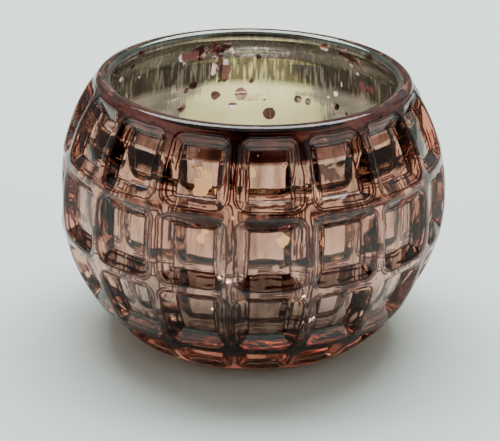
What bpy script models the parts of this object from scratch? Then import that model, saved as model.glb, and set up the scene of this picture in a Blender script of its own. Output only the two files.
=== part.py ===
"""Tealight holder: a round pressed-glass bowl with a waffle of sunk cells, silvered inside, and its tealight.

Metres, +Z up. The origin is the middle of the foot, on the surface that the bowl stands on, and +Z is
the axis that every piece is turned about. The tealight lifts straight up out of the bowl, and its wax
lifts straight up out of its aluminium cup.
"""

import math

import bmesh
import bpy

# Driving dimensions of the bowl. Heights are above the foot.
BELLY_RADIUS = 0.0441
BELLY_SEMI_HEIGHT = 0.0421
BELLY_HEIGHT = 0.0320
SHOULDER_FULLNESS = 0.11
LIP_CENTRE = (0.03375, 0.0582)
LIP_HALF_WIDTH = 0.00195
LIP_RISE = 0.0016
LIP_DEGREES = (40, 205)
LIP_STEPS = 6
FOOT_RADIUS = 0.0276
FOOT_PUSH_UP = 0.0008
FOOT_RING_WIDTH = 0.0055

# The waffle: sunk cells between raised ribs, in rows from the foot up.
COLUMNS = 16
FIRST_RIB_ANGLE = math.radians(-95.76)
RIB_HEIGHTS = (0.0008, 0.0084, 0.0251, 0.0428, 0.0587)
RIB_WIDTH = 0.0018
CELL_DEPTHS = (0.0015, 0.0024, 0.0024, 0.0020)
CELL_SLOPES = (0.0019, 0.0027, 0.0027, 0.0024)
CELL_CORNER = 0.0027
FLOOR_CORNER = 0.0010

# The smooth inside of the bowl: its wall as points (r, z) from under the lip down to where it is
# widest, and then a round bottom down to a flat floor.
INSIDE_WALL = (
    (0.0326, 0.0570),
    (0.0339, 0.0552),
    (0.0348, 0.0532),
    (0.03545, 0.0517),
    (0.0357, 0.0500),
    (0.0361, 0.0445),
    (0.0363, 0.0410),
    (0.0369, 0.0340),
)
INSIDE_FLOOR_HEIGHT = 0.0065
INSIDE_FLOOR_RADIUS = 0.0210
BOTTOM_STEPS = 6

# The silver coat, made as a thin lining that a small gap keeps clear of the glass.
GAP = 0.0003
LINING_THICKNESS = 0.00025
LINING_TOP = 0.0560

# The tealight. Its own heights are above the underside of its cup.
CUP_RADIUS = 0.0192
CUP_HEIGHT = 0.0155
CUP_WALL = 0.0004
CUP_CORNER = 0.0012
CUP_ROLL_RADIUS = 0.0005
CUP_ROLL_OVERHANG = 0.00005
WAX_TOP = 0.0137
WAX_MENISCUS = 0.0004
WICK_RADIUS = 0.0009
WICK_TOP = 0.0198
WICK_LEAN = -0.0048
WICK_LEAN_STEPS = 6
SUSTAINER_RADIUS = 0.0065
SUSTAINER_SHEET = 0.0004
COLLAR_TOP = 0.0040
CUP_UNDERSIDE = INSIDE_FLOOR_HEIGHT + 2 * GAP + LINING_THICKNESS

# A cell's corners as (side, end), anticlockwise from the lower left.
CORNERS = ((-1, -1), (1, -1), (1, 1), (-1, 1))

ROUND_SEGMENTS = 40
SMALL_SEGMENTS = 20


def clear_scene():
    for item in list(bpy.data.objects):
        bpy.data.objects.remove(item, do_unlink=True)


def material(name, colour, roughness, metallic=0.0, transmission=0.0):
    """A Principled material, with its plain colour repeated for the viewport."""
    made = bpy.data.materials.new(name)
    made.use_nodes = True
    shader = made.node_tree.nodes["Principled BSDF"]
    shader.inputs["Base Color"].default_value = (*colour, 1.0)
    shader.inputs["Roughness"].default_value = roughness
    shader.inputs["Metallic"].default_value = metallic
    shader.inputs["Transmission Weight"].default_value = transmission
    made.diffuse_color = (*colour, 1.0)
    return made


def arc(centre, radius, first_degrees, last_degrees, steps):
    """Points (r, z) along an arc, both ends included."""
    points = []
    for step in range(steps + 1):
        angle = math.radians(first_degrees + (last_degrees - first_degrees) * step / steps)
        points.append((centre[0] + radius * math.cos(angle), centre[1] + radius * math.sin(angle)))
    return points


def moved_in(profile, distance):
    """An open profile (r, z), read from the top down, moved in towards the hollow."""
    moved = []
    for index, (r, z) in enumerate(profile):
        before = profile[max(index - 1, 0)]
        after = profile[min(index + 1, len(profile) - 1)]
        along_r = after[0] - before[0]
        along_z = after[1] - before[1]
        length = math.hypot(along_r, along_z)
        moved.append((max(r + distance * along_z / length, 0.0), z - distance * along_r / length))
    return moved


def even_angles(segments):
    return [2 * math.pi * index / segments for index in range(segments)]


def add_ring(bm, point, angles):
    """A ring of vertices at (r, z), or one vertex where the point is on the axis."""
    r, z = point
    if r < 1e-7:
        return [bm.verts.new((0.0, 0.0, z))]
    return [bm.verts.new((r * math.cos(angle), r * math.sin(angle), z)) for angle in angles]


def bridge(bm, lower, upper):
    """Faces between two rings, either of which may be a single vertex on the axis."""
    count = max(len(lower), len(upper))
    if count == 1:
        return
    for index in range(count):
        following = (index + 1) % count
        corners = [
            lower[index % len(lower)],
            lower[following % len(lower)],
            upper[following % len(upper)],
            upper[index % len(upper)],
        ]
        bm.faces.new(list(dict.fromkeys(corners)))


def turn(bm, profile, angles, closed=False, start=None):
    """Turns a profile (r, z) about the axis, on from the ring `start` if there is one."""
    rings = [start] if start else []
    rings += [add_ring(bm, point, angles) for point in profile]
    for lower, upper in zip(rings, rings[1:]):
        bridge(bm, lower, upper)
    if closed:
        bridge(bm, rings[-1], rings[0])
    return rings


def finish_mesh(bm, name, made_of, sharp_degrees=35.0):
    """Turns a closed bmesh into a named object with its faces pointing out."""
    bmesh.ops.remove_doubles(bm, verts=bm.verts, dist=1e-6)
    bmesh.ops.triangulate(bm, faces=[face for face in bm.faces if len(face.verts) > 3])
    bmesh.ops.recalc_face_normals(bm, faces=bm.faces)
    mesh = bpy.data.meshes.new(name)
    bm.to_mesh(mesh)
    bm.free()
    mesh.shade_smooth()
    mesh.set_sharp_from_angle(angle=math.radians(sharp_degrees))
    mesh.materials.append(made_of)
    item = bpy.data.objects.new(name, mesh)
    bpy.context.scene.collection.objects.link(item)
    return item


def turned_object(name, profile, made_of, segments=ROUND_SEGMENTS, closed=False):
    bm = bmesh.new()
    turn(bm, profile, even_angles(segments), closed)
    return finish_mesh(bm, name, made_of)


def slope_angle(height):
    """The ellipse's own angle at a height on the outside of the bowl."""
    return math.asin((height - BELLY_HEIGHT) / BELLY_SEMI_HEIGHT)


def belly_radius(slope):
    """The outside's radius: an ellipse's, and a little fuller towards the shoulder."""
    up = max(math.sin(slope), 0.0)
    return BELLY_RADIUS * math.cos(slope) * (1 + SHOULDER_FULLNESS * up**2)


def belly_point(slope, depth=0.0):
    """(r, z) on the outside of the bowl, or sunk below it by depth."""
    up = max(math.sin(slope), 0.0)
    across = math.cos(slope)
    run_r = 2 * SHOULDER_FULLNESS * up * across**2 - math.sin(slope) * (1 + SHOULDER_FULLNESS * up**2)
    run_r *= BELLY_RADIUS
    run_z = BELLY_SEMI_HEIGHT * across
    length = math.hypot(run_r, run_z)
    z = BELLY_HEIGHT + BELLY_SEMI_HEIGHT * math.sin(slope)
    return belly_radius(slope) - depth * run_z / length, z + depth * run_r / length


def half_cell(slope):
    """Half a cell's width, as an angle about the axis."""
    return math.pi / COLUMNS - 0.5 * RIB_WIDTH / belly_radius(slope)


def corner_start(slope):
    """Where a cell's side straightens out past its corner, as an angle from the cell's middle."""
    return half_cell(slope) - CELL_CORNER / belly_radius(slope)


def rib_line_angles(slope):
    """The angles of the vertices along a level rib line, three to a column."""
    angles = []
    for column in range(COLUMNS):
        middle = FIRST_RIB_ANGLE + 2 * math.pi * (column + 0.5) / COLUMNS
        angles += [middle - math.pi / COLUMNS, middle - corner_start(slope), middle + corner_start(slope)]
    return angles


def rounded_outline(half_width, half_height, radius):
    """Points round a rectangle with round corners, anticlockwise from the lower left: three to a
    corner, and one at the middle of the right side and of the left side."""
    points = []
    for index, (side, end) in enumerate(CORNERS):
        centre = (side * (half_width - radius), end * (half_height - radius))
        first = 180 + 90 * index
        points += arc(centre, radius, first, first + 90, 2)
        if side == -end:
            points.append((side * half_width, 0.0))
    return points


def add_cell(bm, row, column):
    """One sunk cell with the halves of the ribs around it."""
    low, high = (slope_angle(height) for height in RIB_HEIGHTS[row : row + 2])
    mid = 0.5 * (low + high)
    arc_radius = 0.5 * (BELLY_RADIUS + BELLY_SEMI_HEIGHT)
    middle = FIRST_RIB_ANGLE + 2 * math.pi * (column + 0.5) / COLUMNS
    half_width = half_cell(mid) * belly_radius(mid)
    half_height = 0.5 * (high - low) * arc_radius - 0.5 * RIB_WIDTH
    sink = CELL_SLOPES[row]

    def place(across, slope, depth):
        r, z = belly_point(slope, depth)
        angle = middle + across
        return bm.verts.new((r * math.cos(angle), r * math.sin(angle), z))

    def outline_ring(inset, corner, depth):
        ring = []
        for x, v in rounded_outline(half_width - inset, half_height - inset, corner):
            slope = mid + v / arc_radius
            ring.append(place(x / half_width * half_cell(slope), slope, depth))
        return ring

    edge = []
    straight = (half_height - CELL_CORNER) / arc_radius
    for side, end in CORNERS:
        level = low if end < 0 else high
        on_side = place(side * math.pi / COLUMNS, mid + end * straight, 0.0)
        on_corner = place(side * math.pi / COLUMNS, level, 0.0)
        on_level = place(side * corner_start(level), level, 0.0)
        if side == end:
            edge += [on_side, on_corner, on_level]
        else:
            edge += [on_level, on_corner, on_side, place(side * math.pi / COLUMNS, mid, 0.0)]

    rim = outline_ring(0.0, CELL_CORNER, 0.0)
    floor = outline_ring(sink, FLOOR_CORNER, CELL_DEPTHS[row])
    bridge(bm, edge, rim)
    bridge(bm, rim, floor)
    bridge(bm, floor, [place(0.0, mid, CELL_DEPTHS[row])])


def inside_profile():
    """The smooth inside of the bowl (r, z), from under the lip down to the middle of the floor."""
    widest, height = INSIDE_WALL[-1]
    points = list(INSIDE_WALL)
    for step in range(1, BOTTOM_STEPS + 1):
        angle = 0.5 * math.pi * step / BOTTOM_STEPS
        r = INSIDE_FLOOR_RADIUS + (widest - INSIDE_FLOOR_RADIUS) * math.cos(angle)
        points.append((r, height - (height - INSIDE_FLOOR_HEIGHT) * math.sin(angle)))
    return points + [(0.0, INSIDE_FLOOR_HEIGHT)]


def lip_arc(first_degrees, last_degrees, steps):
    """The lip's rounded section (r, z), wider than it is high."""
    points = []
    for r, z in arc((0.0, 0.0), 1.0, first_degrees, last_degrees, steps):
        points.append((LIP_CENTRE[0] + LIP_HALF_WIDTH * r, LIP_CENTRE[1] + LIP_RISE * z))
    return points


def make_glass_bowl():
    bm = bmesh.new()
    for row in range(len(RIB_HEIGHTS) - 1):
        for column in range(COLUMNS):
            add_cell(bm, row, column)

    top_slope = slope_angle(RIB_HEIGHTS[-1])
    top_angles = rib_line_angles(top_slope)
    top_line = add_ring(bm, belly_point(top_slope), top_angles)
    turn(bm, lip_arc(*LIP_DEGREES, LIP_STEPS) + inside_profile(), top_angles, start=top_line)

    foot_slope = slope_angle(RIB_HEIGHTS[0])
    foot_angles = rib_line_angles(foot_slope)
    foot_line = add_ring(bm, belly_point(foot_slope), foot_angles)
    ring_inside = FOOT_RADIUS - FOOT_RING_WIDTH
    foot = [
        (FOOT_RADIUS, 0.0),
        (ring_inside, 0.0),
        (ring_inside - 2 * FOOT_PUSH_UP, FOOT_PUSH_UP),
        (0.0, FOOT_PUSH_UP),
    ]
    turn(bm, foot, foot_angles, start=foot_line)
    rose_glass = material("rose_glass", (0.80, 0.52, 0.46), 0.03, transmission=0.9)
    return finish_mesh(bm, "glass_bowl", rose_glass, sharp_degrees=20.0)


def make_silver_lining():
    """The silver coat, open at the top like the bowl."""
    face = [point for point in inside_profile() if point[1] < LINING_TOP]
    against_glass = moved_in(face, GAP)
    inside = moved_in(face, GAP + LINING_THICKNESS)
    silver = material("antique_silver", (0.62, 0.60, 0.55), 0.12, metallic=1.0)
    return turned_object("silver_lining", against_glass + inside[::-1], silver, closed=True)


def make_cup():
    """The aluminium cup, with its rim rolled outwards."""
    roll_centre = (CUP_RADIUS + CUP_ROLL_OVERHANG, CUP_HEIGHT - CUP_ROLL_RADIUS)
    outside = [(0.0, 0.0)]
    outside += arc((CUP_RADIUS - CUP_CORNER, CUP_CORNER), CUP_CORNER, -90, 0, 3)
    roll = arc(roll_centre, CUP_ROLL_RADIUS, -90, 180, 6)
    inner_radius = CUP_RADIUS - CUP_WALL
    inner_corner = CUP_CORNER - CUP_WALL
    inside = arc((inner_radius - inner_corner, CUP_CORNER), inner_corner, 0, -90, 3)
    aluminium = material("aluminium", (0.80, 0.81, 0.82), 0.30, metallic=1.0)
    return turned_object("tealight_cup", outside + roll + inside + [(0.0, CUP_WALL)], aluminium)


def make_wax():
    """The wax puck: a shaft for the wick, and a recess below for the sustainer and its collar."""
    radius = CUP_RADIUS - CUP_WALL - GAP
    underside = CUP_WALL + GAP
    shaft = WICK_RADIUS + GAP
    sheet_top = underside + SUSTAINER_SHEET
    recess_radius = SUSTAINER_RADIUS + GAP
    collar_room = shaft + SUSTAINER_SHEET + 2 * GAP
    profile = [
        (shaft, COLLAR_TOP + GAP),
        (collar_room, COLLAR_TOP + GAP),
        (collar_room, sheet_top + GAP),
        (recess_radius, sheet_top + GAP),
        (recess_radius, underside),
        (radius - CUP_CORNER, underside),
        (radius, underside + CUP_CORNER),
        (radius, WAX_TOP + WAX_MENISCUS),
        (radius - 2 * WAX_MENISCUS, WAX_TOP),
        (shaft + 2 * WAX_MENISCUS, WAX_TOP),
        (shaft, WAX_TOP + WAX_MENISCUS),
    ]
    cream = material("cream_wax", (0.90, 0.85, 0.70), 0.45)
    return turned_object("tealight_wax", profile, cream, closed=True)


def make_sustainer():
    """The tin disc and its collar, which hold the wick upright."""
    underside = CUP_WALL + GAP
    sheet_top = underside + SUSTAINER_SHEET
    bore = WICK_RADIUS + GAP
    collar = bore + SUSTAINER_SHEET
    profile = [
        (bore, underside),
        (SUSTAINER_RADIUS, underside),
        (SUSTAINER_RADIUS, sheet_top),
        (collar, sheet_top),
        (collar, COLLAR_TOP),
        (bore, COLLAR_TOP),
    ]
    tin = material("tin", (0.72, 0.72, 0.70), 0.35, metallic=1.0)
    return turned_object("wick_sustainer", profile, tin, segments=SMALL_SEGMENTS, closed=True)


def make_wick():
    """The wick: straight through the wax, then leaning over a little above it."""
    foot = CUP_WALL + GAP
    route = [(0.0, foot), (0.0, WAX_TOP)]
    for step in range(1, WICK_LEAN_STEPS + 1):
        share = step / WICK_LEAN_STEPS
        route.append((WICK_LEAN * share**2, WAX_TOP + (WICK_TOP - WAX_TOP) * share))
    curve = bpy.data.curves.new("wick", "CURVE")
    curve.dimensions = "3D"
    curve.bevel_depth = WICK_RADIUS
    curve.bevel_resolution = 2
    curve.use_fill_caps = True
    spline = curve.splines.new("POLY")
    spline.points.add(len(route) - 1)
    for point, (x, z) in zip(spline.points, route):
        point.co = (x, 0.0, z, 1.0)
    curve.materials.append(material("waxed_cotton", (0.86, 0.80, 0.58), 0.70))
    item = bpy.data.objects.new("wick", curve)
    bpy.context.scene.collection.objects.link(item)
    return item


def lift_axis(name, height, parent=None):
    """An empty on the axis that a piece lifts along."""
    axis = bpy.data.objects.new(name, None)
    axis.empty_display_size = 0.01
    axis.location = (0.0, 0.0, height)
    axis.parent = parent
    bpy.context.scene.collection.objects.link(axis)
    return axis


def main():
    clear_scene()
    make_glass_bowl()
    make_silver_lining()
    tealight_lift = lift_axis("tealight_lift", CUP_UNDERSIDE)
    make_cup().parent = tealight_lift
    candle_lift = lift_axis("candle_lift", 0.0, tealight_lift)
    for piece in (make_wax(), make_sustainer(), make_wick()):
        piece.parent = candle_lift


main()
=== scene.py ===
"""Looks of the tealight holder: rose pressed glass, its flaked silver coat, and the tealight inside.

Everything is in metres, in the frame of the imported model: +Z up, the foot on z = 0, the photographed
side towards -Y. The bowl's own sizes below repeat the design's, and the candle's come from its nodes.
"""

import math

import bmesh
import bpy
import numpy as np
from mathutils import Matrix, Vector, noise


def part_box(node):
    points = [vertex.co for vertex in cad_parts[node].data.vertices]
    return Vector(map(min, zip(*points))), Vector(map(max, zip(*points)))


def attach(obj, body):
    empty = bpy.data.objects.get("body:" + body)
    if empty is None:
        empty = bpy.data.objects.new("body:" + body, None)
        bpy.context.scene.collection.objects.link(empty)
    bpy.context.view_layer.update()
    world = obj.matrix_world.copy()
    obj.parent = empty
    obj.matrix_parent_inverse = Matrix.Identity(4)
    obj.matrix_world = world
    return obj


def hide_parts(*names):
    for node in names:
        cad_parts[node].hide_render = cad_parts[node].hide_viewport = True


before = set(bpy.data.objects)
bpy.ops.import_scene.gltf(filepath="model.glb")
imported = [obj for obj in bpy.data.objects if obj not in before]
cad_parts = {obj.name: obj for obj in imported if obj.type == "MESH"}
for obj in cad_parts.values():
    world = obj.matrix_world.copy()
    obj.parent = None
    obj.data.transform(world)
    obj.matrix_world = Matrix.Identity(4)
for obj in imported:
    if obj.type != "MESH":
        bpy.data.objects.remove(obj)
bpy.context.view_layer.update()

# The bowl, as designed. Heights are above the foot.
BELLY_RADIUS = 0.0441
BELLY_SEMI_HEIGHT = 0.0421
BELLY_HEIGHT = 0.0320
SHOULDER_FULLNESS = 0.11
LIP_CENTRE = (0.03375, 0.0582)
LIP_HALF_WIDTH = 0.00195
LIP_RISE = 0.0016
FOOT_RADIUS = 0.0276
FOOT_PUSH_UP = 0.0008
FOOT_RING_WIDTH = 0.0055

COLUMNS = 16
FIRST_RIB_ANGLE = math.radians(-95.76)
RIB_HEIGHTS = (0.0008, 0.0084, 0.0251, 0.0428, 0.0587)
RIB_WIDTH = 0.0018
CELL_DEPTHS = (0.0015, 0.0024, 0.0024, 0.0020)
CELL_CORNER = 0.0027
SHARPEST_CORNER = 0.00025

# A cell's wall: how steep it is, how low the rib's crown lies, and how round its two edges are, each
# with a fine crease along it.
WALL_SLOPE = 0.78
CROWN_DROP = 0.00007
EDGE_ROUNDING = 0.00006
CREASE_DEPTH = 0.00008
CREASE_WIDTH = 0.00011
FLOOR_ROUNDING = 0.00006

# Where a cell's mesh has its lines: shares of the way from the rib lines to the rib's edge, distances
# past that edge and either side of the floor's edge, and shares of the way out from the middle.
RIB_SHARES = (0.0, 0.45, 0.72, 0.82, 0.91)
EDGE_INSETS = (0.0, 0.00008, 0.00016, 0.00027)
FLOOR_INSETS = (-0.00027, -0.00016, -0.00008, 0.0, 0.00008, 0.00016, 0.00027)
FLOOR_SHARES = (0.75, 0.5, 0.25)
CORNER_SHARE = 0.30

# How many parts a cell's corner and its straight sides are divided into.
CORNER_PARTS = 6
SIDE_PARTS = 5

# What the mesh's wall shares say off the walls: outside them, on a cell's floor, inside the bowl.
BEFORE_WALL = -1.0
PAST_WALL = 2.0
INSIDE_BOWL = -2.0

# The inside wall (r, z), from under the lip down to where it is widest.
INSIDE_WALL = (
    (0.0326, 0.0570),
    (0.0339, 0.0552),
    (0.0348, 0.0532),
    (0.03545, 0.0517),
    (0.0357, 0.0500),
    (0.0361, 0.0445),
    (0.0363, 0.0410),
    (0.0369, 0.0340),
)
INSIDE_FLOOR_HEIGHT = 0.0065
INSIDE_FLOOR_RADIUS = 0.0210

# Pressed glass is never quite even: how far its faces wander, and over what distance.
OUTSIDE_WANDER = 0.00006
INSIDE_WANDER = 0.00007
WANDER_LENGTH = 0.0055
OUTSIDE_SEED = 3.1
INSIDE_SEED = 7.7

# The silver coat is a skin that straddles the glass's inner face, streaked between two heights.
STREAK_HEIGHTS = (0.0445, 0.0515)
COAT_THICKNESS = 0.00006
COAT_SINK = 0.00003
COAT_TOP_DEGREES = 110.0
LIP_END_DEGREES = 205.0

# The bare patches: how ragged their edges are, over what distances, and how many small specks.
RAGGED_COARSE = (1.0, 0.0016, 21.0)
RAGGED_FINE = (0.5, 0.0006, 33.0)
RAGGED_GAIN = 1.6
SPECK_COUNT = 230
SPECK_SEED = 11
SMALLEST_SPECK = 0.0003
SPECK_SPREAD = 0.0011


# ---------------------------------------------------------------- meshes


def mesh_object(name, points, faces, materials, sharp_degrees=40.0):
    """A smooth-shaded object from points and faces, its creases kept sharp."""
    mesh = bpy.data.meshes.new(name)
    mesh.from_pydata([tuple(point) for point in points], [], [tuple(face) for face in faces])
    mesh.validate()
    mesh.shade_smooth()
    mesh.set_sharp_from_angle(angle=math.radians(sharp_degrees))
    for made_of in materials:
        mesh.materials.append(made_of)
    item = bpy.data.objects.new(name, mesh)
    bpy.context.scene.collection.objects.link(item)
    return item


def arc(centre, radius, first_degrees, last_degrees, steps):
    """Points (r, z) along an arc, both ends included."""
    angles = np.radians(np.linspace(first_degrees, last_degrees, steps + 1))
    return [(centre[0] + radius * math.cos(a), centre[1] + radius * math.sin(a)) for a in angles]


def turned_mesh(rings, closed=False):
    """Points and quads of rings of points (rings, around, 3), with a cap at each open end."""
    count, around = rings.shape[:2]
    points = list(rings.reshape(-1, 3))
    faces = []
    for ring in range(count if closed else count - 1):
        above = (ring + 1) % count
        for index in range(around):
            following = (index + 1) % around
            faces.append((ring * around + index, ring * around + following,
                          above * around + following, above * around + index))
    if not closed:
        for ring, backwards in ((0, True), (count - 1, False)):
            middle = len(points)
            points.append(rings[ring].mean(axis=0))
            for index in range(around):
                pair = (ring * around + index, ring * around + (index + 1) % around)
                faces.append((middle, *(pair[::-1] if backwards else pair)))
    return points, faces


def rings_of(profile, angles):
    """Rings of points from a profile of (r, z) and the angles around the axis."""
    r, z = np.array(profile).T
    rings = np.empty((len(r), len(angles), 3))
    rings[..., 0] = r[:, None] * np.cos(angles)
    rings[..., 1] = r[:, None] * np.sin(angles)
    rings[..., 2] = z[:, None]
    return rings


def wander(points, amplitude, length, seed):
    """A smooth seeded noise at each point, in metres."""
    shift = Vector((seed, 2 * seed, 3 * seed))
    flat = points.reshape(-1, 3) / length
    values = [noise.noise(Vector(point) + shift) for point in flat]
    return amplitude * np.array(values).reshape(points.shape[:-1])


# ---------------------------------------------------------------- the bowl's shape


def slope_angle(height):
    return math.asin((height - BELLY_HEIGHT) / BELLY_SEMI_HEIGHT)


def belly_radius(slope):
    """The outside's radius, a little fuller at the shoulder than an ellipse."""
    return BELLY_RADIUS * np.cos(slope) * (1 + SHOULDER_FULLNESS * np.maximum(np.sin(slope), 0) ** 2)


def belly_points(slope, angle, sink):
    """Points on the outside of the bowl, sunk along its normal."""
    up = np.maximum(np.sin(slope), 0)
    run_r = BELLY_RADIUS * (-np.sin(slope) * (1 + SHOULDER_FULLNESS * up**2)
                            + 2 * SHOULDER_FULLNESS * up * np.cos(slope) ** 2)
    run_z = BELLY_SEMI_HEIGHT * np.cos(slope)
    length = np.hypot(run_r, run_z)
    r = belly_radius(slope) - sink * run_z / length
    z = BELLY_HEIGHT + BELLY_SEMI_HEIGHT * np.sin(slope) + sink * run_r / length
    return np.stack([r * np.cos(angle), r * np.sin(angle), z], axis=-1)


def half_cell(slope):
    """Half a cell's width, as an angle about the axis."""
    return math.pi / COLUMNS - 0.5 * RIB_WIDTH / belly_radius(slope)


def wall_width(depth):
    """How wide a cell's sloping wall is, seen along the normal."""
    return (depth - CROWN_DROP) / WALL_SLOPE


def sink_across(inset, depth):
    """How far the outside is sunk, `inset` past a rib's edge: over the rib's low crown, round its
    edge, down a straight wall, and round onto the floor of the cell."""
    crown = CROWN_DROP * np.clip(1 + inset / (0.5 * RIB_WIDTH), 0.0, 1.0) ** 2
    wall = crown + WALL_SLOPE * EDGE_ROUNDING * np.logaddexp(0.0, inset / EDGE_ROUNDING)
    down = -FLOOR_ROUNDING * np.logaddexp(-wall / FLOOR_ROUNDING, -depth / FLOOR_ROUNDING)
    for edge in (0.0, wall_width(depth)):
        down = down + CREASE_DEPTH * np.exp(-(((inset - edge) / CREASE_WIDTH) ** 2))
    return down


def wall_share(inset, depth):
    """Where on a cell's wall a point lies: 0 at the rib's edge, 1 at the edge of the floor."""
    return inset / wall_width(depth)


def round_rectangle(half_width, half_height, radius):
    """Points round a rectangle with round corners, anticlockwise from the middle of its right side."""
    quarter = []
    straight_x = half_width - radius
    straight_y = half_height - radius
    for part in range(SIDE_PARTS):
        quarter.append((half_width, straight_y * part / SIDE_PARTS))
    for part in range(CORNER_PARTS):
        angle = 0.5 * math.pi * part / CORNER_PARTS
        quarter.append((straight_x + radius * math.cos(angle), straight_y + radius * math.sin(angle)))
    for part in range(SIDE_PARTS):
        quarter.append((straight_x * (1 - part / SIDE_PARTS), half_height))
    quarter = np.array(quarter)
    mirrored = np.concatenate([quarter, [(0.0, half_height)]])[::-1] * (-1, 1)
    half = np.concatenate([quarter, mirrored[:-1]])
    return np.concatenate([half, -half])


def square_border(corner_share):
    """Points round a unit square that pair with a round rectangle's, with the same corner share."""
    quarter = []
    straight = 1 - corner_share
    for part in range(SIDE_PARTS):
        quarter.append((1.0, straight * part / SIDE_PARTS))
    for part in range(CORNER_PARTS):
        angle = 0.5 * math.pi * part / CORNER_PARTS
        quarter.append((min(1.0, straight + corner_share / max(math.tan(angle), 1e-9)),
                        min(1.0, straight + corner_share * math.tan(angle))))
    for part in range(SIDE_PARTS):
        quarter.append((straight * (1 - part / SIDE_PARTS), 1.0))
    quarter = np.array(quarter)
    mirrored = np.concatenate([quarter, [(0.0, 1.0)]])[::-1] * (-1, 1)
    half = np.concatenate([quarter, mirrored[:-1]])
    return np.concatenate([half, -half])


def cell_rings(row):
    """One cell as rings of (slope, angle from its middle, sink, share of the wall passed), from the rib
    lines to its middle."""
    low, high = (slope_angle(height) for height in RIB_HEIGHTS[row:row + 2])
    mid = 0.5 * (low + high)
    arc_radius = 0.5 * (BELLY_RADIUS + BELLY_SEMI_HEIGHT)
    half_width = half_cell(mid) * belly_radius(mid)
    half_height = 0.5 * (high - low) * arc_radius - 0.5 * RIB_WIDTH
    depth = CELL_DEPTHS[row]
    width = wall_width(depth)

    def inset_at(x, v):
        from_x = np.abs(x) - (half_width - CELL_CORNER)
        from_v = np.abs(v) - (half_height - CELL_CORNER)
        outside = np.hypot(np.maximum(from_x, 0.0), np.maximum(from_v, 0.0))
        inside = np.minimum(np.maximum(from_x, from_v), 0.0)
        return CELL_CORNER - outside - inside

    def ring_at(inset):
        corner = max(CELL_CORNER - inset, SHARPEST_CORNER)
        x, v = round_rectangle(half_width - inset, half_height - inset, corner).T
        slope = mid + v / arc_radius
        return slope, x / half_width * half_cell(slope), *across(inset_at(x, v))

    def across(past):
        return sink_across(past, depth), wall_share(past, depth)

    border = square_border(CORNER_SHARE)
    edge_slope = mid + border[:, 1] * 0.5 * (high - low)
    edge_angle = border[:, 0] * math.pi / COLUMNS
    rim_slope, rim_angle, _, _ = ring_at(0.0)
    rings = []
    for share in RIB_SHARES:
        slope = edge_slope + (rim_slope - edge_slope) * share
        angle = edge_angle + (rim_angle - edge_angle) * share
        x = angle / half_cell(slope) * half_width
        rings.append((slope, angle, *across(inset_at(x, (slope - mid) * arc_radius))))
    for inset in (*EDGE_INSETS, 0.5 * width, *(width + past for past in FLOOR_INSETS)):
        rings.append(ring_at(inset))
    last_slope, last_angle = rings[-1][:2]
    flat = np.full_like(last_slope, depth)
    past_wall = np.full_like(last_slope, PAST_WALL)
    for share in FLOOR_SHARES:
        rings.append((mid + (last_slope - mid) * share, last_angle * share, flat, past_wall))
    return rings


def top_line_angles():
    """The angles of the mesh's lines round the top rib line, and so round the lip and the inside."""
    border = square_border(CORNER_SHARE)
    top = border[border[:, 1] > 0.99999]
    across = np.unique(np.round(top[:, 0], 9))[:-1]
    pitch = 2 * math.pi / COLUMNS
    return np.concatenate([FIRST_RIB_ANGLE + pitch * (column + 0.5 + 0.5 * across)
                           for column in range(COLUMNS)])


def inside_profile(wall_parts, floor_steps):
    """The smooth inside of the bowl (r, z), from under the lip down to the floor: a curve through the
    wall's points, each stretch in some parts, and then a round bottom."""
    before = lip_arc(190, 190, 1)[0]
    widest, height = INSIDE_WALL[-1]
    below = (widest, 2 * height - INSIDE_WALL[-2][1])
    stops = np.array([before, lip_arc(LIP_END_DEGREES, LIP_END_DEGREES, 1)[0], *INSIDE_WALL, below])
    points = []
    for first, second, third, fourth in zip(stops, stops[1:], stops[2:], stops[3:]):
        for part in range(1, wall_parts + 1):
            t = part / wall_parts
            points.append(tuple(second + 0.5 * t * (third - first + t * (
                2 * first - 5 * second + 4 * third - fourth
                + t * (3 * (second - third) + fourth - first)))))
    for step in range(1, floor_steps + 1):
        angle = 0.5 * math.pi * step / floor_steps
        r = INSIDE_FLOOR_RADIUS + (widest - INSIDE_FLOOR_RADIUS) * math.cos(angle)
        points.append((r, height - (height - INSIDE_FLOOR_HEIGHT) * math.sin(angle)))
    return points


def lip_arc(first_degrees, last_degrees, steps):
    """Part of the lip's round top (r, z)."""
    angles = np.radians(np.linspace(first_degrees, last_degrees, steps + 1))
    return [(LIP_CENTRE[0] + LIP_HALF_WIDTH * math.cos(a), LIP_CENTRE[1] + LIP_RISE * math.sin(a))
            for a in angles]


def with_wander(points, amplitude, seed):
    """Points moved in and out from the axis by a smooth noise."""
    moved = points.copy()
    radius = np.hypot(points[..., 0], points[..., 1])
    share = 1 + wander(points, amplitude, WANDER_LENGTH, seed) / np.maximum(radius, 0.004)
    moved[..., 0] *= share
    moved[..., 1] *= share
    return moved


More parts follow.
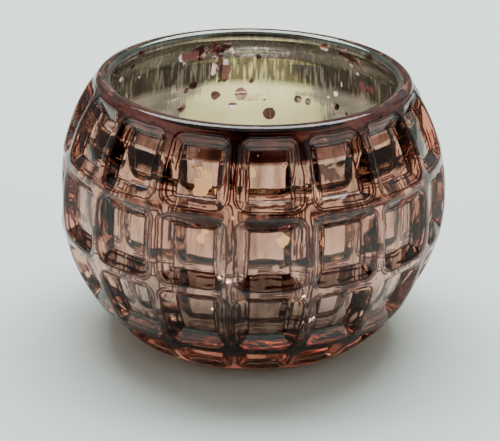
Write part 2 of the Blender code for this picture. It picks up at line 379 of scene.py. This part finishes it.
def make_bowl(made_of):
    """The bowl as one closed mesh: its cells, its lip and inside, and its underside, joined along the
    top and bottom rib lines. Every point also says where on a cell's wall it lies."""
    points = []
    wall_shares = []
    faces = []

    def add_rings(rings, cap, shares=BEFORE_WALL):
        start = sum(len(part) for part in points)
        around = rings.shape[1]
        points.append(rings.reshape(-1, 3))
        wall_shares.append(np.broadcast_to(shares, rings.shape[:2]).ravel())
        for ring in range(len(rings) - 1):
            for index in range(around):
                following = (index + 1) % around
                first = start + ring * around
                faces.append((first + index, first + following,
                              first + around + following, first + around + index))
        if cap:
            last = start + (len(rings) - 1) * around
            points.append(rings[-1].mean(axis=0, keepdims=True))
            wall_shares.append([wall_shares[-1][-1]])
            for index in range(around):
                faces.append((last + index, last + (index + 1) % around, last + around))

    for row in range(len(RIB_HEIGHTS) - 1):
        rings = cell_rings(row)
        for column in range(COLUMNS):
            middle = FIRST_RIB_ANGLE + 2 * math.pi * (column + 0.5) / COLUMNS
            cell = np.array([belly_points(slope, middle + angle, sink)
                             for slope, angle, sink, _ in rings])
            shares = np.array([share for _, _, _, share in rings])
            add_rings(with_wander(cell, OUTSIDE_WANDER, OUTSIDE_SEED), cap=True, shares=shares)

    angles = top_line_angles()
    top_line = belly_points(np.full_like(angles, slope_angle(RIB_HEIGHTS[-1])), angles, 0.0)
    lip = rings_of(lip_arc(24, LIP_END_DEGREES, 16), angles)
    floor = [(r, INSIDE_FLOOR_HEIGHT) for r in (0.014, 0.005)]
    inside = rings_of(inside_profile(3, 20) + floor, angles)
    top_line = with_wander(top_line[None], OUTSIDE_WANDER, OUTSIDE_SEED)
    rings = np.concatenate([top_line, lip, with_wander(inside, INSIDE_WANDER, INSIDE_SEED)])
    is_inside = np.arange(len(rings)) > len(lip)
    add_rings(rings, cap=True, shares=np.where(is_inside, INSIDE_BOWL, BEFORE_WALL)[:, None])

    ring_inside = FOOT_RADIUS - FOOT_RING_WIDTH
    under = arc((FOOT_RADIUS - 0.0004, 0.0004), 0.0004, -45, -90, 3)
    under += [(0.5 * (ring_inside + FOOT_RADIUS), 0.0), (ring_inside + 0.0001, 0.0)]
    under += arc((ring_inside - FOOT_PUSH_UP, 0.0), FOOT_PUSH_UP, 0, 90, 4)
    under += [(0.012, FOOT_PUSH_UP), (0.004, FOOT_PUSH_UP)]
    foot_line = belly_points(np.full_like(angles, slope_angle(RIB_HEIGHTS[0])), angles, 0.0)
    foot_line = with_wander(foot_line[None], OUTSIDE_WANDER, OUTSIDE_SEED)
    add_rings(np.concatenate([foot_line, rings_of(under, angles)]), cap=True)

    bm = bmesh.new()
    layer = bm.verts.layers.float.new("wall_share")
    verts = [bm.verts.new(point) for point in np.concatenate(points)]
    for vert, share in zip(verts, np.concatenate(wall_shares)):
        vert[layer] = share
    for face in faces:
        bm.faces.new([verts[index] for index in face])
    bmesh.ops.remove_doubles(bm, verts=bm.verts, dist=2e-7)
    bmesh.ops.recalc_face_normals(bm, faces=bm.faces)
    mesh = bpy.data.meshes.new("bowl_glass")
    bm.to_mesh(mesh)
    bm.free()
    mesh.shade_smooth()
    mesh.set_sharp_from_angle(angle=math.radians(60))
    mesh.materials.append(made_of)
    item = bpy.data.objects.new("bowl_glass", mesh)
    bpy.context.scene.collection.objects.link(item)
    return item


# ---------------------------------------------------------------- the silver coat


def bare_patches():
    """Where the coat has flaked off: (centre, radius, raggedness). Those that show from the front stand
    about where they do on the object: (degrees from the front, height, radius, raggedness). The rest
    are scattered."""
    placed = [
        (-157, 0.0538, 0.0019, 0.30),
        (-163, 0.0560, 0.0010, 0.60),
        (-166, 0.0540, 0.0021, 0.70),
        (-169, 0.0560, 0.0011, 0.30),
        (-167, 0.0505, 0.0018, 0.70),
        (-164, 0.0482, 0.0012, 0.60),
        (-168, 0.0478, 0.0018, 0.50),
        (-156, 0.0455, 0.0011, 0.05),
        (-165, 0.0424, 0.0012, 0.20),
        (-175, 0.0425, 0.0016, 0.10),
        (-179, 0.0460, 0.0009, 0.40),
        (174, 0.0374, 0.0016, 0.05),
        (176, 0.0411, 0.0004, 0.10),
        (159, 0.0415, 0.0009, 0.30),
        (137, 0.0556, 0.0020, 0.80),
        (145, 0.0478, 0.0007, 0.30),
        (130, 0.0485, 0.0012, 0.40),
        (147, 0.0417, 0.0010, 0.30),
        (142, 0.0405, 0.0005, 0.20),
        (147, 0.0450, 0.0007, 0.20),
        (-151, 0.0400, 0.0012, 0.30),
        (-118, 0.0520, 0.0010, 0.60),
        (-19, 0.0503, 0.0010, 0.60),
        (-16, 0.0474, 0.0018, 0.55),
        (-17, 0.0452, 0.0018, 0.50),
        (-11, 0.0455, 0.0010, 0.50),
        (-1, 0.0500, 0.0012, 0.60),
        (11, 0.0516, 0.0007, 0.50),
        (27, 0.0480, 0.0016, 0.70),
        (24, 0.0500, 0.0010, 0.60),
        (10, 0.0352, 0.0013, 0.40),
        (8, 0.0292, 0.0008, 0.10),
        (-5, 0.0303, 0.0009, 0.40),
        (-16, 0.0350, 0.0010, 0.50),
        (33, 0.0348, 0.0010, 0.50),
    ]
    patches = []
    for degrees, height, radius, ragged in placed:
        patches.append((wall_point(math.radians(degrees - 90), height), radius, ragged))
    rng = np.random.default_rng(SPECK_SEED)
    for _ in range(SPECK_COUNT):
        height = rng.uniform(INSIDE_FLOOR_HEIGHT + 0.002, LIP_CENTRE[1])
        point = wall_point(rng.uniform(0, 2 * math.pi), height)
        radius = SMALLEST_SPECK + SPECK_SPREAD * rng.random() ** 3
        patches.append((point, radius, rng.uniform(0.1, 0.5)))
    return patches


def wall_point(angle, height):
    """A point of the smooth inside wall."""
    profile = inside_profile(4, 24)
    heights = [z for _, z in profile][::-1]
    radii = [r for r, _ in profile][::-1]
    r = float(np.interp(height, heights, radii))
    return np.array([r * math.cos(angle), r * math.sin(angle), height])


def coat_field(points):
    """Above 0 where the silver is whole, and below 0 in a bare patch."""
    uneven = wander(points, *RAGGED_COARSE) + wander(points, *RAGGED_FINE)
    field = np.full(points.shape[:-1], 1e3)
    for centre, radius, ragged in bare_patches():
        away = np.linalg.norm(points - centre, axis=-1)
        edge = radius * (1 + ragged * RAGGED_GAIN * uneven)
        field = np.minimum(field, (away - edge) / 0.001)
    return field


def cut_sheet(points, triangles, field):
    """The part of a triangle mesh where the field is above 0, cut along the field's zero line."""
    field = np.where(np.abs(field) < 1e-4, 1e-4, field)
    made = []
    index_of = {}

    def corner(a, b):
        key = (a, b) if a < b else (b, a)
        if key not in index_of:
            share = 0.0 if a == b else field[key[0]] / (field[key[0]] - field[key[1]])
            index_of[key] = len(made)
            made.append(points[key[0]] + share * (points[key[1]] - points[key[0]]))
        return index_of[key]

    kept = []
    for triangle in triangles:
        above = [field[v] > 0 for v in triangle]
        if all(above):
            kept.append([corner(v, v) for v in triangle])
        elif any(above):
            ring = []
            for side in range(3):
                a, b = triangle[side], triangle[(side + 1) % 3]
                if above[side]:
                    ring.append(corner(a, a))
                if above[side] != above[(side + 1) % 3]:
                    ring.append(corner(a, b))
            kept.append(ring)
    return np.array(made), kept


def thickened(points, faces, inward, thickness):
    """A closed skin: the sheet, its copy moved inward, and walls along every open edge."""
    count = len(points)
    both = np.concatenate([points, points + inward * thickness])
    skin = [tuple(face) for face in faces]
    skin += [tuple(v + count for v in reversed(face)) for face in faces]
    edges = [edge for face in faces for edge in zip(face, face[1:] + face[:1])]
    known = set(edges)
    for a, b in edges:
        if (b, a) not in known:
            skin.append((b, a, a + count, b + count))
    return both, skin


def make_coat(against_glass, towards_candle):
    """The silver coat: a closed skin, cut away at its bare patches, with a material for each side."""
    around = 420
    middle = (0, 0, 0.034)
    angles = np.linspace(0, 2 * math.pi, around, endpoint=False)
    wall = lip_arc(COAT_TOP_DEGREES, LIP_END_DEGREES, 14) + inside_profile(8, 56)
    floor = [(r, INSIDE_FLOOR_HEIGHT) for r in np.linspace(INSIDE_FLOOR_RADIUS, 0.001, 14)[1:]]
    rings = with_wander(rings_of(wall + floor, angles), INSIDE_WANDER, INSIDE_SEED)
    quads = [face for face in turned_mesh(rings)[1] if len(face) == 4]
    triangles = [part for a, b, c, d in quads for part in ((a, b, c), (a, c, d))]
    flat = rings.reshape(-1, 3)
    points, faces = cut_sheet(flat, triangles, coat_field(flat))
    mesh = bpy.data.meshes.new("sheet")
    mesh.from_pydata([tuple(point) for point in points], [], [tuple(face) for face in faces])
    normals = np.array([tuple(vertex.normal) for vertex in mesh.vertices])
    towards_hollow = -np.sign(np.sum(normals * (points - middle), axis=1, keepdims=True))
    inward = normals * np.median(towards_hollow)
    both, skin = thickened(points - inward * COAT_SINK, faces, inward, COAT_THICKNESS)
    coat = mesh_object("bowl_silver", both, skin, [against_glass, towards_candle])
    for polygon in coat.data.polygons[len(faces):]:
        polygon.material_index = 1
    return coat


# ---------------------------------------------------------------- the candle


def make_cup(made_of):
    """The aluminium cup: a thin fluted wall with a rolled edge, and a base with a pressed ring."""
    low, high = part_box("tealight_cup")
    height = high[2] - low[2]
    roll = 0.0005
    overhang = 0.00005
    radius = 0.5 * (high[0] - low[0]) - roll - overhang
    wall = 0.00025
    corner = 0.0012
    flutes = 72
    flute_depth = 0.00009
    base = [(0.0015, 0.0004), (0.0090, 0.0004), (0.0096, 0.0001), (0.0104, 0.0001), (0.0110, 0.0004),
            (0.0165, 0.0004)]
    outside = base + [(0.0171, 0.0)]
    outside += arc((radius - corner, corner), corner, -90, 0, 6)
    outside += [(radius, z) for z in np.linspace(corner, height - 3 * roll, 12)[1:]]
    rolled = arc((radius + overhang, height - roll), roll, -90, 180, 14)
    inside_r = radius - wall
    inside = [(inside_r, z) for z in np.linspace(height - 3 * roll, corner, 12)]
    inside += arc((inside_r - corner + wall, corner), corner - wall, 0, -90, 6)[1:]
    inside += [(r, z + wall) for r, z in base[::-1]]
    angles = np.linspace(0, 2 * math.pi, 288, endpoint=False)
    rings = rings_of(outside + rolled + inside, angles)
    flute = flute_depth * np.cos(flutes * angles)
    band = np.exp(-((rings[..., 2] - 0.42 * height) / (0.30 * height)) ** 4)
    radius_now = np.hypot(rings[..., 0], rings[..., 1])
    on_wall = (radius_now > radius - 2 * wall).astype(float)
    share = 1 + band * on_wall * (flute - flute_depth) / radius
    rings[..., 0] *= share
    rings[..., 1] *= share
    rings[..., 2] += low[2]
    points, faces = turned_mesh(rings)
    return mesh_object("candle_cup", points, faces, [made_of])


def make_wax(made_of):
    """The wax puck: dished on top, climbing its wall and the wick, hollow round the wick's foot."""
    low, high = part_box("tealight_wax")
    radius = 0.5 * (high[0] - low[0])
    height = high[2] - low[2]
    shaft = 0.0012
    meniscus = 0.0004
    dished = 0.00025
    top = height - meniscus
    corner = 0.0010
    surface = []
    for r in np.linspace(radius - 0.0002, shaft, 40):
        climb_out = meniscus * math.exp(-(radius - r) / 0.0006)
        climb_in = meniscus * math.exp(-(r - shaft) / 0.0009)
        dish = dished * math.cos(math.pi * r / radius)
        surface.append((r, top + climb_out + climb_in - dish - 0.0001))
    profile = [(shaft, 0.0038), (0.0022, 0.0038), (0.0022, 0.0007), (0.0068, 0.0007), (0.0068, 0.0)]
    profile += arc((radius - corner, corner), corner, -90, 0, 5)
    profile += [(radius, z) for z in np.linspace(corner, top, 6)[1:]]
    angles = np.linspace(0, 2 * math.pi, 128, endpoint=False)
    rings = rings_of(profile + surface, angles)
    is_top = np.arange(len(rings)) >= len(profile)
    rings[is_top, :, 2] += wander(rings[is_top], 0.00012, 0.006, 5.0)
    rings[..., 2] += low[2]
    points, faces = turned_mesh(rings, closed=True)
    return mesh_object("candle_wax", points, faces, [made_of])


def make_sustainer(made_of):
    """The tin disc under the wax, with the collar that holds the wick."""
    low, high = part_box("wick_sustainer")
    radius = 0.5 * (high[0] - low[0])
    height = high[2] - low[2]
    bore = 0.0012
    sheet = 0.0004
    profile = [(bore, 0.0), (0.0030, 0.0), (radius - 0.0004, 0.0)]
    profile += arc((radius - 0.0002, 0.0002), 0.0002, -90, 90, 4)
    profile += [(0.0034, sheet), (bore + sheet + 0.0005, sheet)]
    profile += arc((bore + sheet + 0.0004, sheet + 0.0004), 0.0004, 270, 180, 4)
    profile += [(bore + sheet, height - 0.0004), (bore + 0.6 * sheet, height), (bore, height)]
    angles = np.linspace(0, 2 * math.pi, 96, endpoint=False)
    rings = rings_of(profile, angles)
    rings[..., 2] += low[2]
    points, faces = turned_mesh(rings, closed=True)
    return mesh_object("candle_sustainer", points, faces, [made_of])


def make_wick(made_of):
    """A braided cotton wick: three strands twisted round each other, leaning over at the tip."""
    low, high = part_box("wick")
    wax_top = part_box("tealight_wax")[1][2]
    radius = 0.00085
    lean = low[0] + radius
    turn_height = 0.0032
    stations = np.linspace(low[2], high[2], 110)
    angles = np.linspace(0, 2 * math.pi, 36, endpoint=False)
    rings = np.empty((len(stations), len(angles), 3))
    for index, z in enumerate(stations):
        share = max(z - wax_top, 0.0) / (high[2] - wax_top)
        twist = 2 * math.pi * (z - low[2]) / turn_height
        bulge = 1 - 0.16 * (1 - np.abs(np.cos(1.5 * (angles - twist))))
        taper = 1.0 - 0.12 * share
        rings[index, :, 0] = 0.82 * lean * share**2 + radius * taper * bulge * np.cos(angles)
        rings[index, :, 1] = radius * taper * bulge * np.sin(angles)
        rings[index, :, 2] = z
    points, faces = turned_mesh(rings)
    return mesh_object("candle_wick", points, faces, [made_of], sharp_degrees=80.0)


# ---------------------------------------------------------------- materials


class Nodes:
    """A small helper that adds nodes to a Principled material and links them."""

    def __init__(self, name):
        self.material = bpy.data.materials.new(name)
        self.material.use_nodes = True
        self.tree = self.material.node_tree
        self.shader = self.tree.nodes["Principled BSDF"]
        self.output = self.tree.nodes["Material Output"]
        self.coordinates = self.add("ShaderNodeTexCoord").outputs["Object"]

    def add(self, kind, **settings):
        node = self.tree.nodes.new(kind)
        for key, value in settings.items():
            setattr(node, key, value)
        return node

    def link(self, source, target):
        self.tree.links.new(source, target)

    def set(self, **values):
        for key, value in values.items():
            self.shader.inputs[key.replace("_", " ")].default_value = value

    def scaled(self, scale):
        mapping = self.add("ShaderNodeMapping")
        mapping.inputs["Scale"].default_value = scale
        self.link(self.coordinates, mapping.inputs["Vector"])
        return mapping.outputs["Vector"]

    def along(self, axis):
        parts = self.add("ShaderNodeSeparateXYZ")
        self.link(self.coordinates, parts.inputs["Vector"])
        return parts.outputs[axis]

    def noise(self, scale, detail=4.0, stretch=(1, 1, 1), distortion=0.0):
        texture = self.add("ShaderNodeTexNoise")
        texture.inputs["Scale"].default_value = scale
        texture.inputs["Detail"].default_value = detail
        texture.inputs["Distortion"].default_value = distortion
        self.link(self.scaled(stretch), texture.inputs["Vector"])
        return texture.outputs["Fac"]

    def ramp(self, factor, *stops):
        ramp = self.add("ShaderNodeValToRGB")
        elements = ramp.color_ramp.elements
        while len(elements) < len(stops):
            elements.new(0.5)
        for element, (position, colour) in zip(elements, stops):
            element.position = position
            element.color = (*colour, 1.0)
        self.link(factor, ramp.inputs["Fac"])
        return ramp.outputs["Color"]

    def range(self, factor, low, high, from_low=0.0, from_high=1.0):
        node = self.add("ShaderNodeMapRange")
        node.inputs["From Min"].default_value = from_low
        node.inputs["From Max"].default_value = from_high
        for slot, value in (("To Min", low), ("To Max", high)):
            if isinstance(value, float):
                node.inputs[slot].default_value = value
            else:
                self.link(value, node.inputs[slot])
        self.link(factor, node.inputs["Value"])
        return node.outputs["Result"]

    def attribute(self, name):
        return self.add("ShaderNodeAttribute", attribute_name=name).outputs["Fac"]

    def math(self, operation, *terms):
        node = self.add("ShaderNodeMath", operation=operation)
        for slot, value in zip(node.inputs, terms):
            if isinstance(value, float):
                slot.default_value = value
            else:
                self.link(value, slot)
        return node.outputs["Value"]

    def mix(self, factor, first, second, blend="MIX"):
        node = self.add("ShaderNodeMix", data_type="RGBA", blend_type=blend)
        self.link(factor, node.inputs["Factor"])
        self.link(first, node.inputs["A"])
        self.link(second, node.inputs["B"])
        return node.outputs["Result"]

    def bump(self, height, distance, strength=1.0):
        node = self.add("ShaderNodeBump")
        node.inputs["Strength"].default_value = strength
        node.inputs["Distance"].default_value = distance
        self.link(height, node.inputs["Height"])
        self.link(node.outputs["Normal"], self.shader.inputs["Normal"])


def full(nodes, amount=1.0):
    """A constant factor."""
    node = nodes.add("ShaderNodeValue")
    node.outputs["Value"].default_value = amount
    return node.outputs["Value"]


# Painted shade: dark lines painted into the rose colour along the cells' walls, standing in for the
# dark edge lines the pressed glass shows: (share of the wall, whether it is broken).
PAINTED_SHADE_LINES = ((-0.19, True), (0.0, False), (0.28, True), (0.74, True), (1.0, False))
LINE_HALF_WIDTH = 0.11
LINE_WOBBLE = 0.07


def painted_shade_lines(nodes):
    """How much painted shade lies on the glass: 1 on a line, 0 away from the lines."""
    share = nodes.attribute("wall_share")
    wobble = nodes.range(nodes.noise(260.0, 2.0), -LINE_WOBBLE, LINE_WOBBLE, 0.3, 0.7)
    share = nodes.math("ADD", share, wobble)
    whole = nodes.range(nodes.noise(420.0, 2.0), 0.6, 1.0, 0.40, 0.58)
    broken = nodes.range(nodes.noise(170.0, 3.0), 0.0, 1.0, 0.44, 0.54)
    line_shade = None
    for place, is_broken in PAINTED_SHADE_LINES:
        away = nodes.math("ABSOLUTE", nodes.math("SUBTRACT", share, place))
        line = nodes.range(away, broken if is_broken else whole, 0.0, 0.0, LINE_HALF_WIDTH)
        line_shade = nodes.math("MAXIMUM", line_shade, line) if line_shade else line
    return line_shade


def inside_back(nodes):
    """1 on the back half of the bowl's inside, where bare patches show stained glass."""
    share = nodes.attribute("wall_share")
    inside = nodes.range(share, 1.0, 0.0, INSIDE_BOWL, 0.5 * (INSIDE_BOWL + BEFORE_WALL))
    return nodes.math("MULTIPLY", inside, nodes.range(nodes.along("Y"), 0.0, 1.0, 0.005, 0.015))


def rose_glass():
    """Clear rose glass: paler towards the foot, with a band of painted shade darkest under the lip and
    lines of painted shade along the cells' walls.
    """
    nodes = Nodes("rose_glass")
    tint = nodes.ramp(nodes.noise(55.0, 3.0), (0.30, (0.97, 0.82, 0.78)), (0.70, (1.0, 0.97, 0.95)))
    # The rose deepens from the foot to the belly and pales again at the shoulder; the dark band just
    # under the lip is painted shade.
    height_tone_and_painted_lip_shade = nodes.ramp(nodes.range(nodes.along("Z"), 0.0, 1.0, 0.008, 0.060),
                           (0.0, (1.0, 0.98, 0.97)), (0.46, (0.82, 0.52, 0.44)),
                           (0.86, (1.0, 0.70, 0.62)), (0.96, (0.32, 0.12, 0.11)))
    # Painted shade: the dark lines along the cells' walls, multiplied into the rose colour.
    dark = nodes.ramp(painted_shade_lines(nodes), (0.0, (1.0, 1.0, 1.0)), (0.42, (0.030, 0.002, 0.001)))
    for layer in (height_tone_and_painted_lip_shade, dark):
        tint = nodes.mix(full(nodes), tint, layer, "MULTIPLY")
    stained = nodes.ramp(nodes.noise(150.0, 2.0), (0.50, (0.018, 0.003, 0.003)),
                         (0.60, (0.90, 0.78, 0.75)))
    nodes.link(nodes.mix(inside_back(nodes), tint, stained), nodes.shader.inputs["Base Color"])
    nodes.link(nodes.range(nodes.noise(180.0, 5.0), 0.0, 0.012), nodes.shader.inputs["Roughness"])
    nodes.set(Transmission_Weight=1.0, IOR=1.50)
    nodes.bump(nodes.noise(620.0, 2.0, stretch=(1.0, 1.0, 0.45)), 0.00006, 0.6)
    absorb = nodes.add("ShaderNodeVolumeAbsorption")
    absorb.inputs["Color"].default_value = (0.80, 0.56, 0.46, 1.0)
    absorb.inputs["Density"].default_value = 58.0
    nodes.link(absorb.outputs["Volume"], nodes.output.inputs["Volume"])
    return nodes.material


def antique_silver():
    """The coat's mirror against the glass: mottled and run, with painted light making it paler near the
    bottom.
    """
    nodes = Nodes("antique_silver")
    mottle = nodes.noise(130.0, 8.0, distortion=0.6)
    streaks = nodes.noise(420.0, 5.0, stretch=(1.0, 1.0, 0.14))
    base = nodes.ramp(mottle, (0.30, (0.64, 0.58, 0.49)), (0.52, (0.82, 0.75, 0.66)),
                      (0.75, (0.92, 0.87, 0.80)))
    run = nodes.ramp(streaks, (0.36, (0.45, 0.42, 0.36)), (0.56, (1.0, 1.0, 1.0)))
    # Painted light: a paler mirror colour, full below 22 mm and fading out by 33 mm, that brightens
    # what the lower cells reflect.
    painted_light_low = nodes.ramp(mottle, (0.3, (0.98, 0.87, 0.80)), (0.7, (1.0, 0.95, 0.90)))
    base = nodes.mix(nodes.range(nodes.along("Z"), 1.0, 0.0, 0.022, 0.033), base, painted_light_low)
    nodes.link(nodes.mix(full(nodes, 0.8), base, run, "MULTIPLY"), nodes.shader.inputs["Base Color"])
    nodes.link(nodes.range(mottle, 0.02, 0.07, 0.3, 0.7), nodes.shader.inputs["Roughness"])
    nodes.set(Metallic=1.0)
    nodes.bump(streaks, 0.00004, 0.5)
    return nodes.material


def silver_back():
    """The coat's bare back: duller, with fine streaks where it ran, and a dark margin at the lip."""
    nodes = Nodes("silver_back")
    mottle = nodes.noise(120.0, 8.0, distortion=0.6)
    streaks = nodes.noise(1300.0, 3.0, stretch=(1.0, 1.0, 0.11))
    base = nodes.ramp(mottle, (0.30, (0.86, 0.82, 0.74)), (0.70, (0.97, 0.94, 0.87)))
    run = nodes.ramp(streaks, (0.42, (0.11, 0.105, 0.095)), (0.52, (0.19, 0.18, 0.16)),
                     (0.64, (0.66, 0.64, 0.59)))
    low, high = STREAK_HEIGHTS
    into = nodes.range(nodes.along("Z"), 0.0, 0.95, low, low + 0.002)
    amount = nodes.range(nodes.along("Z"), into, 0.55, high, high + 0.001)
    streaked = nodes.mix(amount, base, run, "MULTIPLY")
    margin = nodes.range(nodes.along("Z"), 0.0, 0.9, 0.0578, 0.0592)
    dark = nodes.ramp(mottle, (0.3, (0.03, 0.055, 0.045)), (0.7, (0.09, 0.12, 0.10)))
    nodes.link(nodes.mix(margin, streaked, dark), nodes.shader.inputs["Base Color"])
    nodes.link(nodes.range(mottle, 0.025, 0.07, 0.3, 0.7), nodes.shader.inputs["Roughness"])
    nodes.set(Metallic=0.84)
    nodes.bump(streaks, 0.00005, 0.5)
    return nodes.material


def aluminium():
    nodes = Nodes("aluminium")
    drawn = nodes.noise(900.0, 3.0, stretch=(1.0, 1.0, 0.05))
    tone = nodes.ramp(drawn, (0.3, (0.74, 0.75, 0.77)), (0.7, (0.88, 0.88, 0.89)))
    nodes.link(tone, nodes.shader.inputs["Base Color"])
    nodes.link(nodes.range(nodes.noise(240.0, 4.0), 0.16, 0.34), nodes.shader.inputs["Roughness"])
    nodes.set(Metallic=1.0)
    nodes.bump(drawn, 0.00002, 0.4)
    return nodes.material


def cream_wax():
    nodes = Nodes("cream_wax")
    cloud = nodes.noise(160.0, 5.0)
    tone = nodes.ramp(cloud, (0.3, (0.96, 0.88, 0.44)), (0.7, (0.99, 0.93, 0.52)))
    nodes.link(tone, nodes.shader.inputs["Base Color"])
    nodes.link(nodes.range(cloud, 0.18, 0.30), nodes.shader.inputs["Roughness"])
    nodes.set(Subsurface_Weight=0.5, Subsurface_Scale=0.002)
    nodes.shader.inputs["Subsurface Radius"].default_value = (1.0, 0.8, 0.5)
    nodes.bump(nodes.noise(1400.0, 3.0), 0.00003, 0.4)
    return nodes.material


def waxed_cotton():
    nodes = Nodes("waxed_cotton")
    fibre = nodes.noise(2600.0, 4.0, stretch=(1.0, 1.0, 0.35))
    tone = nodes.ramp(fibre, (0.3, (0.62, 0.54, 0.30)), (0.7, (0.86, 0.80, 0.58)))
    nodes.link(tone, nodes.shader.inputs["Base Color"])
    nodes.link(nodes.range(fibre, 0.55, 0.85), nodes.shader.inputs["Roughness"])
    nodes.bump(fibre, 0.00008, 0.8)
    return nodes.material


def tin():
    nodes = Nodes("tin")
    grain = nodes.noise(700.0, 5.0)
    tone = nodes.ramp(grain, (0.3, (0.55, 0.55, 0.53)), (0.7, (0.74, 0.74, 0.72)))
    nodes.link(tone, nodes.shader.inputs["Base Color"])
    nodes.link(nodes.range(grain, 0.25, 0.45), nodes.shader.inputs["Roughness"])
    nodes.set(Metallic=1.0)
    return nodes.material


def pale_card():
    nodes = Nodes("pale_card")
    tone = nodes.ramp(nodes.noise(9.0, 4.0), (0.3, (0.80, 0.94, 0.88)), (0.7, (0.81, 0.95, 0.89)))
    nodes.link(tone, nodes.shader.inputs["Base Color"])
    nodes.set(Roughness=0.75)
    return nodes.material


# ---------------------------------------------------------------- the studio


# The surroundings: a pale room with darker things in it, more of them low down, and a dark figure in
# front. Heights are sines of an elevation.
ROOM_PALE = (0.58, 0.60, 0.58)
ROOM_DEEP = (0.42, 0.31, 0.27)
FIGURE_DARK = (0.036, 0.010, 0.009)
FIGURE_EDGE = (0.170, 0.095, 0.075)
CLUTTER_LOW = 0.15
CLUTTER_HIGH = 0.60
CLUTTER_BIAS = 0.10
CLUTTER_EDGE = (0.52, 0.58)
FIGURE_LOW = 0.12
FIGURE_HIGH = 0.86
FIGURE_WIDTH = 0.90

# The big soft light, overhead and a little behind.
SOFTBOX_PLACE = (0.0, 0.31, 0.76)
SOFTBOX_TARGET = (0, 0, 0.03)
SOFTBOX_SIZE = (0.86, 0.46)
SOFTBOX_POWER = 12.2


def make_floor():
    """A big pale card."""
    side = 3.0
    corners = [(-side, -side, 0), (side, -side, 0), (side, side, 0), (-side, side, 0)]
    floor = mesh_object("floor", corners, [(0, 1, 2, 3)], [pale_card()])


def make_camera():
    """The camera, at the photograph's angle, a little above and in front."""
    distance = 0.4860
    elevation = 0.380244
    pitch = 0.395106
    yaw = -0.000739
    roll = 0.018260
    ahead = math.cos(pitch)
    forward = Vector((math.sin(yaw) * ahead, math.cos(yaw) * ahead, -math.sin(pitch)))
    level = forward.cross(Vector((0, 0, 1))).normalized()
    upright = level.cross(forward)
    right = level * math.cos(roll) + upright * math.sin(roll)
    up = upright * math.cos(roll) - level * math.sin(roll)
    place = Vector((0, -distance * math.cos(elevation), BELLY_HEIGHT + distance * math.sin(elevation)))
    camera = bpy.data.objects.new("camera", bpy.data.cameras.new("camera"))
    camera.matrix_world = Matrix((
        (right.x, up.x, -forward.x, place.x),
        (right.y, up.y, -forward.y, place.y),
        (right.z, up.z, -forward.z, place.z),
        (0, 0, 0, 1)))
    camera.data.lens = 152.59
    camera.data.sensor_width = 36.0
    camera.data.clip_start = 0.01
    bpy.context.scene.collection.objects.link(camera)
    bpy.context.scene.camera = camera


def add_softbox(place, target, size, power):
    light = bpy.data.lights.new("softbox", "AREA")
    light.shape = "RECTANGLE"
    light.size, light.size_y = size
    light.energy = power
    item = bpy.data.objects.new("softbox", light)
    item.location = place
    item.rotation_euler = (Vector(target) - Vector(place)).to_track_quat("-Z", "Y").to_euler()
    bpy.context.scene.collection.objects.link(item)


def make_studio():
    """A big soft light overhead in a pale room, with a dark figure standing in front."""
    world = bpy.data.worlds.new("studio")
    world.use_nodes = True
    bpy.context.scene.world = world
    tree = world.node_tree

    def node(kind, **settings):
        made = tree.nodes.new(kind)
        for key, value in settings.items():
            setattr(made, key, value)
        return made

    def step(source, low, high):
        made = node("ShaderNodeMapRange", interpolation_type="SMOOTHSTEP")
        made.inputs["From Min"].default_value = low
        made.inputs["From Max"].default_value = high
        tree.links.new(source, made.inputs["Value"])
        return made.outputs["Result"]

    def math_of(operation, *terms):
        made = node("ShaderNodeMath", operation=operation)
        for slot, value in zip(made.inputs, terms):
            if isinstance(value, float):
                slot.default_value = value
            else:
                tree.links.new(value, slot)
        return made.outputs["Value"]

    def between(source, low, high, soft):
        return math_of("MULTIPLY", step(source, low, low + soft), step(source, high, high - soft))

    def mixed(factor, first, second):
        mix = node("ShaderNodeMix", data_type="RGBA")
        tree.links.new(factor, mix.inputs["Factor"])
        for slot, colour in (("A", first), ("B", second)):
            if isinstance(colour, tuple):
                mix.inputs[slot].default_value = (*colour, 1)
            else:
                tree.links.new(colour, mix.inputs[slot])
        return mix.outputs["Result"]

    direction = node("ShaderNodeTexCoord").outputs["Generated"]
    parts = node("ShaderNodeSeparateXYZ")
    tree.links.new(direction, parts.inputs["Vector"])
    x, y, z = (parts.outputs[axis] for axis in "XYZ")
    blotches = node("ShaderNodeTexNoise")
    blotches.inputs["Scale"].default_value = 3.2
    blotches.inputs["Detail"].default_value = 2.0
    tree.links.new(direction, blotches.inputs["Vector"])
    lower = step(z, CLUTTER_HIGH, CLUTTER_LOW)
    patchy = math_of("ADD", blotches.outputs["Fac"], math_of("MULTIPLY", lower, CLUTTER_BIAS))
    clutter = step(patchy, *CLUTTER_EDGE)
    beside = math_of("ADD", math_of("MULTIPLY", math_of("ABSOLUTE", x), 1 / FIGURE_WIDTH), y)
    figure = math_of("MULTIPLY", step(beside, 0.03, -0.03), between(z, FIGURE_LOW, FIGURE_HIGH, 0.05))
    room = mixed(clutter, ROOM_PALE, ROOM_DEEP)
    clothes = mixed(step(beside, -0.15, -0.50), FIGURE_EDGE, FIGURE_DARK)
    tree.links.new(mixed(figure, room, clothes), tree.nodes["Background"].inputs["Color"])
    add_softbox(SOFTBOX_PLACE, SOFTBOX_TARGET, SOFTBOX_SIZE, SOFTBOX_POWER)


# ---------------------------------------------------------------- assembly


def place_piece(piece, body, node):
    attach(piece, body)
    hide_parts(node)


def main():
    make_camera()
    make_floor()
    make_studio()
    place_piece(make_bowl(rose_glass()), "bowl", "glass_bowl")
    place_piece(make_coat(antique_silver(), silver_back()), "bowl", "silver_lining")
    place_piece(make_cup(aluminium()), "tealight", "tealight_cup")
    place_piece(make_wax(cream_wax()), "candle", "tealight_wax")
    place_piece(make_wick(waxed_cotton()), "candle", "wick")
    place_piece(make_sustainer(tin()), "candle", "wick_sustainer")


main()
